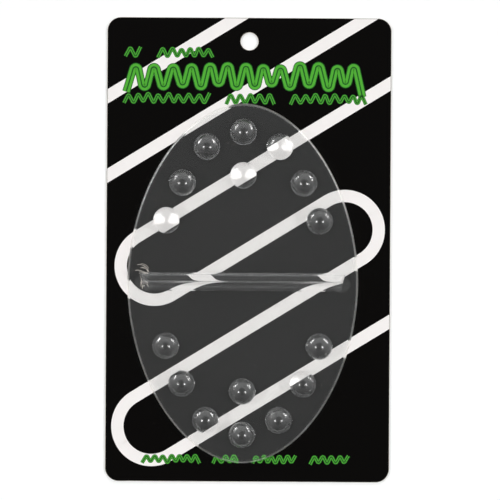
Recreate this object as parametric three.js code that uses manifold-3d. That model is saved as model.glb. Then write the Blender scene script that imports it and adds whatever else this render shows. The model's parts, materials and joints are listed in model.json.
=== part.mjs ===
// A clear snowboard stomp pad on its hang card. The pad is an oval urethane sheet with domed grip studs
// and a scraper bar across its middle. Its adhesive holds it to a clear release liner, and two glue
// spots tack the liner to a board card with a hole for a display peg.
//
// Millimetres, +Z up. The card lies on its back: its underside is z = 0, its centre is x = y = 0, and
// the peg hole is towards +Y. Everything that comes away with the pad is in the group named pad.
import * as THREE from "three";
import { mergeVertices } from "three/addons/utils/BufferGeometryUtils.js";
import Module from "manifold-3d";

const wasm = await Module();
wasm.setup();

// Hang card
const CARD_WIDTH = 127;
const CARD_HEIGHT = 207.5;
const CARD_THICKNESS = 0.75;
const CARD_CORNER_RADIUS = 6;
const PEG_HOLE_DIAMETER = 8;
const PEG_HOLE_FROM_TOP = 10.5;

// What lies between the card and the pad, from the bottom up
const TACK_THICKNESS = 0.125;
const TACK_DIAMETER = 9;
const TACK_SPACING = 88;
const LINER_THICKNESS = 0.125;
const ADHESIVE_THICKNESS = 0.25;
const ADHESIVE_INSET = 0.5;

// Pad sheet. Its outline is |x / a|^n + |y / b|^n = 1, slightly leaner than an ellipse, where n is 2.
const PAD_WIDTH = 103;
const PAD_LENGTH = 160.5;
const PAD_OUTLINE_POWER = 1.9;
const PAD_THICKNESS = 3;
const PAD_EDGE_RADIUS = 1.25;
const PAD_CENTRE_X = -2.4;
const PAD_CENTRE_Y = -15;

// Grip studs, each a cap cut from a ball. They are laid out alike in each quarter of the pad, with two more
// on the long axis at each end.
const STUD_RADIUS = 5.9;
const STUD_BALL_RADIUS = 6.1;
const STUD_QUARTER_PLACES = [
  [16.3, 61],
  [27.1, 44.8],
  [34.2, 28],
];
const STUD_AXIS_PLACES = [67.6, 48.2];

// Scraper bar: an upright face towards +Y with a sharp top edge, a round crest behind it, and a hollow back
// that drops steeply from the crest and runs out onto the sheet at its toe
const BAR_LENGTH = 92;
const BAR_HEIGHT = 6;
const BAR_FACE_Y = 3.9;
const BAR_CREST_Y = 2.8;
const BAR_CREST_RADIUS = 2;
const BAR_HOLLOW_Y = 0.3;
const BAR_TOE_Y = -3.4;
const BAR_END_ROUNDING = 4.5;

// How finely the curves are cut
const OUTLINE_SEGMENTS = 72;
const CURVE_SEGMENTS = 8;
const HOLE_SEGMENTS = 12;
const STUD_SEGMENTS = 24;
const STUD_RINGS = 6;
const TACK_SEGMENTS = 24;

const TACK_Z = CARD_THICKNESS;
const LINER_Z = TACK_Z + TACK_THICKNESS;
const ADHESIVE_Z = LINER_Z + LINER_THICKNESS;
const SHEET_Z = ADHESIVE_Z + ADHESIVE_THICKNESS;

const boardMaterial = new THREE.MeshStandardMaterial({ color: 0x0b0a09, roughness: 0.55, metalness: 0 });
const glueMaterial = clearMaterial(0xe8e6df, 0.35, 0.3);
const linerMaterial = clearMaterial(0xdfe3e2, 0.2, 0.2);
const adhesiveMaterial = clearMaterial(0xe3e5e3, 0.4, 0.2);
const urethaneMaterial = clearMaterial(0xd9dfde, 0.05, 0.35);

function clearMaterial(color, roughness, opacity) {
  return new THREE.MeshStandardMaterial({ color, roughness, opacity, metalness: 0, transparent: true });
}

function namedMesh(name, geometry, material) {
  const mesh = new THREE.Mesh(geometry, material);
  mesh.name = name;
  return mesh;
}

// A closed geometry as a manifold solid, which needs shared vertices and positions only.
function toSolid(geometry) {
  const bare = geometry.clone();
  bare.deleteAttribute("normal");
  bare.deleteAttribute("uv");
  const merged = mergeVertices(bare, 1e-4);
  return new wasm.Manifold(
    new wasm.Mesh({
      numProp: 3,
      vertProperties: new Float32Array(merged.attributes.position.array),
      triVerts: new Uint32Array(merged.index.array),
    }),
  );
}

function toGeometry(solid) {
  const mesh = solid.getMesh();
  const geometry = new THREE.BufferGeometry();
  geometry.setAttribute("position", new THREE.BufferAttribute(new Float32Array(mesh.vertProperties), 3));
  geometry.setIndex(new THREE.BufferAttribute(new Uint32Array(mesh.triVerts), 1));
  geometry.computeVertexNormals();
  return geometry;
}

// Cuts away everything below z = 0, so that a part rounded all over gets a flat underside.
function flatUnderneath(geometry) {
  const reach = 300;
  const below = new THREE.BoxGeometry(reach, reach, reach).translate(0, 0, -reach / 2);
  return toGeometry(toSolid(geometry).subtract(toSolid(below)));
}

// The pad's outline, drawn inset towards the middle by a few tenths for what lies under it.
function padOutline(inset = 0) {
  const halfWidth = PAD_WIDTH / 2 - inset;
  const halfLength = PAD_LENGTH / 2 - inset;
  const points = [];
  for (let i = 0; i < OUTLINE_SEGMENTS; i++) {
    const angle = (2 * Math.PI * i) / OUTLINE_SEGMENTS;
    const [c, s] = [Math.cos(angle), Math.sin(angle)];
    const x = halfWidth * Math.sign(c) * Math.abs(c) ** (2 / PAD_OUTLINE_POWER);
    const y = halfLength * Math.sign(s) * Math.abs(s) ** (2 / PAD_OUTLINE_POWER);
    points.push(new THREE.Vector2(x, y));
  }
  return new THREE.Shape(points);
}

function extruded(shape, depth) {
  return new THREE.ExtrudeGeometry(shape, { depth, bevelEnabled: false, curveSegments: CURVE_SEGMENTS });
}

function cardGeometry() {
  const [x, y, r] = [CARD_WIDTH / 2, CARD_HEIGHT / 2, CARD_CORNER_RADIUS];
  const shape = new THREE.Shape();
  shape.absarc(x - r, y - r, r, 0, Math.PI / 2);
  shape.absarc(r - x, y - r, r, Math.PI / 2, Math.PI);
  shape.absarc(r - x, r - y, r, Math.PI, 1.5 * Math.PI);
  shape.absarc(x - r, r - y, r, 1.5 * Math.PI, 2 * Math.PI);
  shape.closePath();
  const board = extruded(shape, CARD_THICKNESS);
  const punch = new THREE.CylinderGeometry(
    PEG_HOLE_DIAMETER / 2,
    PEG_HOLE_DIAMETER / 2,
    4 * CARD_THICKNESS,
    2 * HOLE_SEGMENTS,
  )
    .rotateX(Math.PI / 2)
    .translate(0, y - PEG_HOLE_FROM_TOP, CARD_THICKNESS / 2);
  return toGeometry(toSolid(board).subtract(toSolid(punch)));
}

function sheetGeometry() {
  const round = new THREE.ExtrudeGeometry(padOutline(), {
    depth: PAD_THICKNESS,
    bevelThickness: PAD_EDGE_RADIUS,
    bevelSize: PAD_EDGE_RADIUS,
    bevelOffset: -PAD_EDGE_RADIUS,
    bevelSegments: 3,
  });
  return flatUnderneath(round.translate(0, 0, -PAD_EDGE_RADIUS));
}

// The ball's centre is below the stud's foot, so the stud's side still leans in where it meets the sheet.
function studGeometry() {
  const footAngle = Math.acos(STUD_RADIUS / STUD_BALL_RADIUS);
  const centreZ = -STUD_BALL_RADIUS * Math.sin(footAngle);
  const profile = [new THREE.Vector2(0, 0)];
  for (let i = 0; i < STUD_RINGS; i++) {
    const angle = footAngle + ((Math.PI / 2 - footAngle) * i) / STUD_RINGS;
    const [x, z] = [STUD_BALL_RADIUS * Math.cos(angle), centreZ + STUD_BALL_RADIUS * Math.sin(angle)];
    profile.push(new THREE.Vector2(x, z));
  }
  profile.push(new THREE.Vector2(0, centreZ + STUD_BALL_RADIUS));
  return new THREE.LatheGeometry(profile, STUD_SEGMENTS).rotateX(Math.PI / 2);
}

// The bar is a length of its section, with its two ends rounded off by what it looks like from the front. The
// section is drawn with x across the bar and y up. Rotating it stands it up and turns it to run along X.
function barGeometry() {
  const faceAngle = Math.acos((BAR_FACE_Y - BAR_CREST_Y) / BAR_CREST_RADIUS);
  const section = new THREE.Shape();
  section.moveTo(BAR_TOE_Y, 0);
  section.lineTo(BAR_FACE_Y, 0);
  section.absarc(BAR_CREST_Y, BAR_HEIGHT - BAR_CREST_RADIUS, BAR_CREST_RADIUS, faceAngle, Math.PI, false);
  section.quadraticCurveTo(BAR_HOLLOW_Y, 0, BAR_TOE_Y, 0);
  const length = extruded(section, BAR_LENGTH).translate(0, 0, -BAR_LENGTH / 2);
  length.rotateX(Math.PI / 2).rotateZ(Math.PI / 2);

  const endX = BAR_LENGTH / 2 - BAR_END_ROUNDING;
  const front = new THREE.Shape();
  front.absellipse(endX, 0, BAR_END_ROUNDING, BAR_HEIGHT, 0, Math.PI / 2, false);
  front.absellipse(-endX, 0, BAR_END_ROUNDING, BAR_HEIGHT, Math.PI / 2, Math.PI, false);
  front.closePath();
  const depth = 4 * BAR_FACE_Y;
  const outline = extruded(front, depth).translate(0, 0, -depth / 2).rotateX(Math.PI / 2);
  return toGeometry(toSolid(length).intersect(toSolid(outline)));
}

function tackGeometry() {
  const radius = TACK_DIAMETER / 2;
  const spot = new THREE.CylinderGeometry(radius, radius, TACK_THICKNESS, TACK_SEGMENTS);
  return spot.rotateX(Math.PI / 2).translate(0, 0, TACK_THICKNESS / 2);
}

// Every stud's place on the pad, from the +Y end down and left to right.
function studPlaces() {
  const places = [];
  for (const end of [1, -1]) {
    for (const y of STUD_AXIS_PLACES) {
      places.push([0, end * y]);
    }
    for (const [x, y] of STUD_QUARTER_PLACES) {
      places.push([-x, end * y], [x, end * y]);
    }
  }
  return places.sort((a, b) => b[1] - a[1] || a[0] - b[0]);
}

function buildCard() {
  const card = new THREE.Group();
  card.name = "card";
  card.add(namedMesh("backing_card", cardGeometry(), boardMaterial));

  const sides = { left: -1, right: 1 };
  for (const [side, sign] of Object.entries(sides)) {
    const spot = namedMesh("tack_spot_" + side, tackGeometry(), glueMaterial);
    spot.position.set(PAD_CENTRE_X + (sign * TACK_SPACING) / 2, PAD_CENTRE_Y, TACK_Z);
    card.add(spot);
  }

  const liner = namedMesh("release_liner", extruded(padOutline(), LINER_THICKNESS), linerMaterial);
  liner.position.set(PAD_CENTRE_X, PAD_CENTRE_Y, LINER_Z);
  card.add(liner);
  return card;
}

function buildPad() {
  const pad = new THREE.Group();
  pad.name = "pad";
  pad.position.set(PAD_CENTRE_X, PAD_CENTRE_Y, 0);

  const film = extruded(padOutline(ADHESIVE_INSET), ADHESIVE_THICKNESS);
  const adhesive = namedMesh("adhesive_film", film, adhesiveMaterial);
  adhesive.position.z = ADHESIVE_Z;
  pad.add(adhesive);

  const sheet = namedMesh("pad_sheet", sheetGeometry(), urethaneMaterial);
  sheet.position.z = SHEET_Z;
  pad.add(sheet);

  const bar = namedMesh("scraper_bar", barGeometry(), urethaneMaterial);
  bar.position.z = SHEET_Z + PAD_THICKNESS;
  pad.add(bar);

  studPlaces().forEach(([x, y], i) => {
    const number = String(i + 1).padStart(2, "0");
    const stud = namedMesh("stud_" + number, studGeometry(), urethaneMaterial);
    stud.position.set(x, y, SHEET_Z + PAD_THICKNESS);
    pad.add(stud);
  });
  return pad;
}

const stompPad = new THREE.Group();
stompPad.add(buildCard(), buildPad());

export default stompPad;
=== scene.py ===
"""Looks for a clear snowboard stomp pad that is still on its printed hang card.

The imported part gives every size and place. Each class below is one sub-assembly: it takes its sizes from the
frame, builds its meshes and dresses them. The clear pieces are real glass-like solids. Where two of them are
bonded, their touching faces get a finish that doesn't bend or mirror light, as a true bond doesn't.
"""

import json
import logging
import math
import random
from dataclasses import dataclass, field
from enum import Enum
from typing import Any, Iterable, Sequence

import bmesh
import bpy
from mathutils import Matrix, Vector
from mathutils.geometry import delaunay_2d_cdt


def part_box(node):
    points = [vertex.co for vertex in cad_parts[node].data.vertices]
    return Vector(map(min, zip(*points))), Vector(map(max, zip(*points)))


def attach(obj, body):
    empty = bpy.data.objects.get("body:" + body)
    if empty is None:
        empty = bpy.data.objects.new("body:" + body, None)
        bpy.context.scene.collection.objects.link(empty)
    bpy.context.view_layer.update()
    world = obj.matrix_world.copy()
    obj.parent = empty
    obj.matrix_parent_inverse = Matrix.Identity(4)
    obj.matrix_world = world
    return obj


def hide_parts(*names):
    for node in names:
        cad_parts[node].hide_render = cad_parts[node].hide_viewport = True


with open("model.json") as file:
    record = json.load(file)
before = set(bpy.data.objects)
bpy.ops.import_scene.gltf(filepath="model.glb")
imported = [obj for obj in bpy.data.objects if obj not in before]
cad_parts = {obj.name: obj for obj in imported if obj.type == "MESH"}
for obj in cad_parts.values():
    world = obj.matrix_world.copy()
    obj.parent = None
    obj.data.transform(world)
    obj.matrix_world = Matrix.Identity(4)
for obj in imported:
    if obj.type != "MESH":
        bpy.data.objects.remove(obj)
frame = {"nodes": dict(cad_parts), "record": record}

MM = 0.001
MERGE_DISTANCE = 1e-6
SEAT_GAP = 0.01 * MM

log = logging.getLogger("stomp_pad")

Point = tuple[float, float]
Loop = list[Vector]
Path = tuple[Sequence[Vector], bool]


# ------------------------------------------------------------------------------------------------ wiring


class Wiring:
    """Adds nodes to a node tree and joins their sockets."""

    def __init__(self, tree: bpy.types.NodeTree) -> None:
        """Keeps the tree that the nodes go into."""
        self.tree = tree

    def node(self, kind: str, settings: dict[str, Any] | None = None, **inputs: Any) -> bpy.types.Node:
        """Adds one node.

        Args:
            kind: the node's type name.
            settings: its own properties, such as operation.
            inputs: values or source sockets, by the input's name with _ for a blank, or i0, i1 by number.

        Returns:
            The new node.
        """
        made = self.tree.nodes.new(kind)
        for name, value in (settings or {}).items():
            setattr(made, name, value)
        for name, value in inputs.items():
            numbered = name[0] == "i" and name[1:].isdigit()
            key = int(name[1:]) if numbered else name.replace("_", " ")
            self.feed(made.inputs[key], value)
        return made

    def feed(self, socket: bpy.types.NodeSocket, value: Any) -> None:
        """Joins a source socket to an input, or sets the input's own value.

        Args:
            socket: the input.
            value: what feeds it.
        """
        if isinstance(value, bpy.types.NodeSocket):
            self.tree.links.new(value, socket)
        else:
            socket.default_value = value

    def math(self, operation: str, *values: Any) -> bpy.types.NodeSocket:
        """Adds a Math node in whichever kind of tree this is, and returns its result."""
        numbered = {f"i{i}": value for i, value in enumerate(values)}
        return self.node("ShaderNodeMath", {"operation": operation}, **numbered).outputs[0]

    def mixed(self, share: Any, first: Any, second: Any, blend: str = "MIX") -> bpy.types.NodeSocket:
        """Mixes two colours, and returns the result."""
        settings = {"data_type": "RGBA", "blend_type": blend}
        return self.node("ShaderNodeMix", settings, i0=share, i6=first, i7=second).outputs[2]

    def shaded(self, geometry: bpy.types.NodeSocket, smooth: bool) -> bpy.types.NodeSocket:
        """Shades a mesh smooth or flat, and returns it."""
        return self.node("GeometryNodeSetShadeSmooth", None, i0=geometry, Shade_Smooth=smooth).outputs[0]

    def real(self, instances: bpy.types.NodeSocket) -> bpy.types.NodeSocket:
        """Makes instances real, and returns their geometry."""
        return self.node("GeometryNodeRealizeInstances", None, Geometry=instances).outputs[0]

    def dressed(self, geometry: bpy.types.NodeSocket, **inputs: Any) -> bpy.types.NodeSocket:
        """Gives a mesh its material, and returns it."""
        return self.node("GeometryNodeSetMaterial", None, Geometry=geometry, **inputs).outputs[0]

    def strip(self, curve: bpy.types.NodeSocket, width: Any, depth: Any) -> bpy.types.NodeSocket:
        """Sweeps a flat rectangle along a curve that lies level.

        Args:
            curve: the curve.
            width: the rectangle's width.
            depth: its height.

        Returns:
            The closed mesh.
        """
        upright = self.node("GeometryNodeSetCurveNormal", {"mode": "Z_UP"}, Curve=curve).outputs[0]
        section = self.node("GeometryNodeCurvePrimitiveQuadrilateral", None, Width=width, Height=depth)
        return self.node(
            "GeometryNodeCurveToMesh", None, Curve=upright, Profile_Curve=section.outputs[0], Fill_Caps=True
        ).outputs[0]

    def scattered(self, surface: bpy.types.NodeSocket, density: Any, seed: Any) -> bpy.types.NodeSocket:
        """Scatters points over a surface.

        Args:
            surface: the mesh that they lie on.
            density: how many there are to a square metre.
            seed: for their places.

        Returns:
            The points.
        """
        return self.node(
            "GeometryNodeDistributePointsOnFaces", None, Mesh=surface, Density=density, Seed=seed
        ).outputs[0]

    def random(self, low: float, high: float, seed: Any) -> bpy.types.NodeSocket:
        """Draws a random number for each point.

        Args:
            low: the least it can be.
            high: the most it can be.
            seed: for the draw.

        Returns:
            The number.
        """
        return self.node(
            "FunctionNodeRandomValue", {"data_type": "FLOAT"}, i2=low, i3=high, Seed=seed
        ).outputs[1]


@dataclass(frozen=True)
class Port:
    """One named input or output of a node group."""

    name: str
    kind: str
    default: Any = None

    def add_to(self, tree: bpy.types.NodeTree, direction: str) -> None:
        """Adds this socket to the group's interface.

        Args:
            tree: the group's tree.
            direction: INPUT or OUTPUT.
        """
        made = tree.interface.new_socket(name=self.name, in_out=direction, socket_type=self.kind)
        if self.default is not None:
            made.default_value = self.default


FLOAT = "NodeSocketFloat"
INTEGER = "NodeSocketInt"
GEOMETRY = "NodeSocketGeometry"
MATERIAL = "NodeSocketMaterial"


def new_group(name: str, kind: str, takes: Sequence[Port], gives: Sequence[Port]) -> tuple[Wiring, Any, Any]:
    """Starts a node group.

    Args:
        name: the group's name.
        kind: ShaderNodeTree or GeometryNodeTree.
        takes: its inputs.
        gives: its outputs.

    Returns:
        The wiring for its tree, its Group Input's outputs and its Group Output's inputs.
    """
    tree = bpy.data.node_groups.new(name, kind)
    for port in takes:
        port.add_to(tree, "INPUT")
    for port in gives:
        port.add_to(tree, "OUTPUT")
    wiring = Wiring(tree)
    return wiring, wiring.node("NodeGroupInput").outputs, wiring.node("NodeGroupOutput").inputs


# ---------------------------------------------------------------------------------------------- finishes


def paper_tooth_group() -> bpy.types.NodeTree:
    """Printed board's fibre: Shade is a soft mottle round 1, and Height is the tooth for a bump.

    Returns:
        The group's tree.
    """
    takes = [Port("Fibre Size", FLOAT, 0.2 * MM), Port("Mottle", FLOAT, 0.03)]
    gives = [Port("Shade", FLOAT), Port("Height", FLOAT)]
    w, given, out = new_group("paper_tooth", "ShaderNodeTree", takes, gives)
    spot = w.node("ShaderNodeTexCoord").outputs["Object"]
    fibres = w.math("DIVIDE", 1.0, given["Fibre Size"])
    patches = 180.0
    fine = w.node("ShaderNodeTexNoise", None, Vector=spot, Scale=fibres, Detail=3.0)
    broad = w.node("ShaderNodeTexNoise", None, Vector=spot, Scale=patches, Detail=4.0)
    both = w.math("ADD", fine.outputs["Fac"], broad.outputs["Fac"])
    w.feed(out["Shade"], w.math("MULTIPLY_ADD", w.math("SUBTRACT", both, 1.0), given["Mottle"], 1.0))
    w.feed(out["Height"], fine.outputs["Fac"])
    return w.tree


def cast_ripple_group() -> bpy.types.NodeTree:
    """Cast urethane and film: Height is a faint lengthways ripple, and Streak its colour mask.

    Returns:
        The group's tree.
    """
    takes = [Port("Ripple Size", FLOAT, 2.0 * MM), Port("Stretch", FLOAT, 0.25)]
    gives = [Port("Height", FLOAT), Port("Streak", FLOAT)]
    w, given, out = new_group("cast_ripple", "ShaderNodeTree", takes, gives)
    spot = w.node("ShaderNodeTexCoord").outputs["Object"]
    lengthways = w.node("ShaderNodeCombineXYZ", None, X=1.0, Y=given["Stretch"], Z=1.0).outputs[0]
    stretched = w.node("ShaderNodeVectorMath", {"operation": "MULTIPLY"}, i0=spot, i1=lengthways).outputs[0]
    ripples = w.math("DIVIDE", 1.0, given["Ripple Size"])
    streaks = w.math("MULTIPLY", ripples, 4.0)
    wave = w.node("ShaderNodeTexNoise", None, Vector=stretched, Scale=ripples, Detail=2.0)
    grain = w.node("ShaderNodeTexNoise", None, Vector=stretched, Scale=streaks, Detail=3.0)
    w.feed(out["Height"], wave.outputs["Fac"])
    w.feed(out["Streak"], grain.outputs["Fac"])
    return w.tree


@dataclass(frozen=True)
class PaperFinish:
    """Printed or bare board: a matte colour with a fibrous tooth."""

    name: str
    colour: tuple[float, float, float]
    roughness: float = 0.7
    specular: float = 0.1
    fibre_size: float = 0.18 * MM
    mottle: float = 0.06
    tooth_depth: float = 0.004 * MM

    def material(self, tooth: bpy.types.NodeTree) -> bpy.types.Material:
        """Builds the material round the shared paper tooth.

        Args:
            tooth: the paper tooth's group.

        Returns:
            The material.
        """
        made, w, shader = new_material(self.name, self.roughness)
        shader.inputs["Specular IOR Level"].default_value = self.specular
        settings = {"node_tree": tooth}
        group = w.node("ShaderNodeGroup", settings, Fibre_Size=self.fibre_size, Mottle=self.mottle).outputs
        shade = w.mixed(1.0, (*self.colour, 1.0), group["Shade"], "MULTIPLY")
        w.feed(shader.inputs["Base Color"], shade)
        bump = w.node("ShaderNodeBump", None, Distance=self.tooth_depth, Height=group["Height"])
        w.feed(shader.inputs["Normal"], bump.outputs[0])
        w.node("ShaderNodeOutputMaterial", None, Surface=shader.outputs[0])
        return made


@dataclass(frozen=True)
class ClearFinish:
    """A clear solid. Light for what is behind it passes straight on, more or less of it by how it slants.

    A dome gathers each lamp's light into a patch, so passes_square may be over 1. The room's own light
    reaches what is behind from everywhere, so passes_spread of it passes at every slant. A finish with a
    gloss mirrors by a rough coat of that roughness in place of its own sharp surface.
    """

    name: str
    colour: tuple[float, float, float] = (1.0, 1.0, 1.0)
    index: float = 1.5
    clarity: float = 1.0
    roughness: float = 0.0
    gloss: float | None = None
    gloss_strength: float = 0.75
    passes_square: float = 1.0
    passes_steep: float = 1.0
    passes_spread: float = 1.0
    steep_from: float = 0.3
    steep_to: float = 0.55
    ripple_size: float = 2.0 * MM
    ripple_depth: float = 0.0
    streaks: float = 0.0

    def material(self, ripple: bpy.types.NodeTree) -> bpy.types.Material:
        """Builds the material round the shared cast ripple.

        Args:
            ripple: the cast ripple's group.

        Returns:
            The material.
        """
        made, w, shader = new_material(self.name, self.roughness)
        shader.inputs["Base Color"].default_value = (*self.colour, 1.0)
        shader.inputs["IOR"].default_value = self.index
        shader.inputs["Transmission Weight"].default_value = self.clarity
        if self.gloss is not None:
            shader.inputs["Specular IOR Level"].default_value = 0.0
            shader.inputs["Coat Weight"].default_value = self.gloss_strength
            shader.inputs["Coat Roughness"].default_value = self.gloss
        group = w.node("ShaderNodeGroup", {"node_tree": ripple}, Ripple_Size=self.ripple_size).outputs
        if self.ripple_depth:
            bump = w.node("ShaderNodeBump", None, Distance=self.ripple_depth, Height=group["Height"])
            w.feed(shader.inputs["Normal"], bump.outputs[0])
        if self.streaks:
            darkest = tuple(c * (1.0 - self.streaks) for c in self.colour)
            tint = w.mixed(group["Streak"], (*darkest, 1.0), (*self.colour, 1.0))
            w.feed(shader.inputs["Base Color"], tint)
        self.let_light_through(w, shader)
        return made

    def let_light_through(self, w: Wiring, shader: bpy.types.Node) -> None:
        """Mixes in a Transparent shader for light on its way to what is behind.

        A lamp's light is a shadow ray, which the slant dims or gathers. The room's is a diffuse ray.

        Args:
            w: the wiring for the material's tree.
            shader: the clear shader that everything else sees.
        """
        slant = w.node("ShaderNodeLayerWeight", None, Blend=0.5).outputs["Facing"]
        passed = w.node(
            "ShaderNodeMapRange",
            {"interpolation_type": "SMOOTHSTEP"},
            Value=slant,
            From_Min=self.steep_from,
            From_Max=self.steep_to,
            To_Min=self.passes_square,
            To_Max=self.passes_steep,
        )
        ray = w.node("ShaderNodeLightPath").outputs
        beyond_spread = w.math("SUBTRACT", passed.outputs[0], self.passes_spread)
        share = w.math("MULTIPLY_ADD", ray["Is Shadow Ray"], beyond_spread, self.passes_spread)
        window = w.node("ShaderNodeBsdfTransparent", None, Color=share)
        for_light = w.math("MAXIMUM", ray["Is Shadow Ray"], ray["Is Diffuse Ray"])
        both = w.node("ShaderNodeMixShader", None, i0=for_light, i1=shader.outputs[0], i2=window.outputs[0])
        w.node("ShaderNodeOutputMaterial", None, Surface=both.outputs[0])


def new_material(name: str, roughness: float) -> tuple[bpy.types.Material, Wiring, bpy.types.Node]:
    """Starts a material with a Principled shader that isn't joined to an output yet.

    Args:
        name: the material's name.
        roughness: the shader's roughness.

    Returns:
        The material, the wiring for its tree and its shader.
    """
    made = bpy.data.materials.new(name)
    made.use_nodes = True
    made.node_tree.nodes.clear()
    w = Wiring(made.node_tree)
    shader = w.node("ShaderNodeBsdfPrincipled", None, Roughness=roughness)
    return made, w, shader


class Finish(Enum):
    """Every finish on the object."""

    BLACK_INK = PaperFinish("black_ink", (0.0016, 0.0013, 0.0011), specular=0.02)
    BARE_BOARD = PaperFinish("bare_board", (0.52, 0.47, 0.40), roughness=0.9, mottle=0.25)
    WHITE_INK = PaperFinish("white_ink", (0.86, 0.82, 0.805), roughness=0.6)
    BRIGHT_GREEN_INK = PaperFinish("bright_green_ink", (0.07, 0.385, 0.027), roughness=0.55)
    DARK_GREEN_INK = PaperFinish("dark_green_ink", (0.008, 0.10, 0.008), roughness=0.55)
    GLUE = ClearFinish("hot_melt_glue", (0.98, 0.98, 0.97), index=1.02, clarity=0.985, streaks=0.04)
    GLUE_STRING = PaperFinish("drawn_glue_string", (0.62, 0.55, 0.49), roughness=0.4, specular=0.5)
    LINER = ClearFinish("liner_film", (0.985, 0.99, 0.99), index=1.08, passes_square=0.99)
    ADHESIVE = ClearFinish(
        "pad_adhesive",
        (0.985, 0.99, 0.985),
        clarity=0.992,
        passes_square=0.98,
        ripple_size=1.2 * MM,
        streaks=0.03,
    )
    SHEET = ClearFinish(
        "sheet_urethane",
        (0.985, 0.995, 0.99),
        clarity=0.982,
        ripple_size=1.0 * MM,
        streaks=0.14,
        passes_square=0.97,
        passes_steep=0.5,
        steep_from=0.6,
        steep_to=0.95,
        ripple_depth=0.002 * MM,
    )
    MOULDED = ClearFinish(
        "moulded_urethane",
        (0.99, 0.995, 0.995),
        clarity=0.965,
        gloss=0.22,
        passes_square=1.0,
        passes_steep=0.4,
        passes_spread=0.95,
        ripple_depth=0.001 * MM,
    )
    DOMED = ClearFinish(
        "domed_urethane",
        (0.99, 0.995, 0.995),
        clarity=0.987,
        gloss=0.22,
        passes_square=3.4,
        passes_steep=0.5,
        passes_spread=0.88,
        steep_from=0.008,
        steep_to=0.03,
        ripple_depth=0.001 * MM,
    )
    CUT_EDGE = ClearFinish(
        "moulded_edge", (0.96, 0.93, 0.89), clarity=0.92, roughness=0.32, passes_square=0.9
    )
    BOND = ClearFinish("bonded_face", index=1.002)
    TRAPPED_AIR = ClearFinish("trapped_air", index=1.4, passes_square=0.9, passes_steep=0.3)


class FinishShelf:
    """Makes each finish's material once, round the two shared node groups."""

    def __init__(self) -> None:
        """Builds the shared node groups."""
        self.tooth = paper_tooth_group()
        self.ripple = cast_ripple_group()
        self.made: dict[Finish, bpy.types.Material] = {}

    def material(self, finish: Finish) -> bpy.types.Material:
        """Finds a finish's material, and makes it the first time it is asked for.

        Args:
            finish: which finish.

        Returns:
            Its material.
        """
        if finish not in self.made:
            shared = self.tooth if isinstance(finish.value, PaperFinish) else self.ripple
            self.made[finish] = finish.value.material(shared)
        return self.made[finish]

    def materials(self, *finishes: Finish) -> list[bpy.types.Material]:
        """Returns the materials of several finishes, in the order that a mesh's slots need."""
        return [self.material(finish) for finish in finishes]


# ------------------------------------------------------------------------------------------------ shapes


def circle(centre: Vector, radius: float, steps: int) -> Loop:
    """A ring of points in plan, anticlockwise from +X."""
    turns = (2 * math.pi * i / steps for i in range(steps))
    return [Vector((centre.x + radius * math.cos(a), centre.y + radius * math.sin(a))) for a in turns]


@dataclass(frozen=True)
class Oval:
    """The pad's outline, |x / a|^n + |y / b|^n = 1, with a and b from a node's box."""

    centre: Vector
    half_width: float
    half_length: float
    power: float = 1.9
    steps: int = 240

    @classmethod
    def around(cls, node: str) -> "Oval":
        """The oval that fills a CAD node's box in plan.

        Args:
            node: the CAD node's name.

        Returns:
            The oval.
        """
        low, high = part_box(node)
        middle, half = (low + high) / 2, (high - low) / 2
        return cls(middle.xy, half.x, half.y)

    def ring(self, inset: float = 0.0) -> Loop:
        """The outline's points, moved square to it towards the middle by the inset.

        Args:
            inset: how far in.

        Returns:
            The points, anticlockwise from +X.
        """
        points = []
        for i in range(self.steps):
            angle = 2 * math.pi * i / self.steps
            c, s = math.cos(angle), math.sin(angle)
            across = math.copysign(abs(c) ** (2 / self.power), c)
            along = math.copysign(abs(s) ** (2 / self.power), s)
            outward = Vector(
                (
                    math.copysign(abs(across) ** (self.power - 1), c) / self.half_width,
                    math.copysign(abs(along) ** (self.power - 1), s) / self.half_length,
                )
            ).normalized()
            edge = Vector((across * self.half_width, along * self.half_length))
            points.append(self.centre + edge - outward * inset)
        return points


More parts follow.
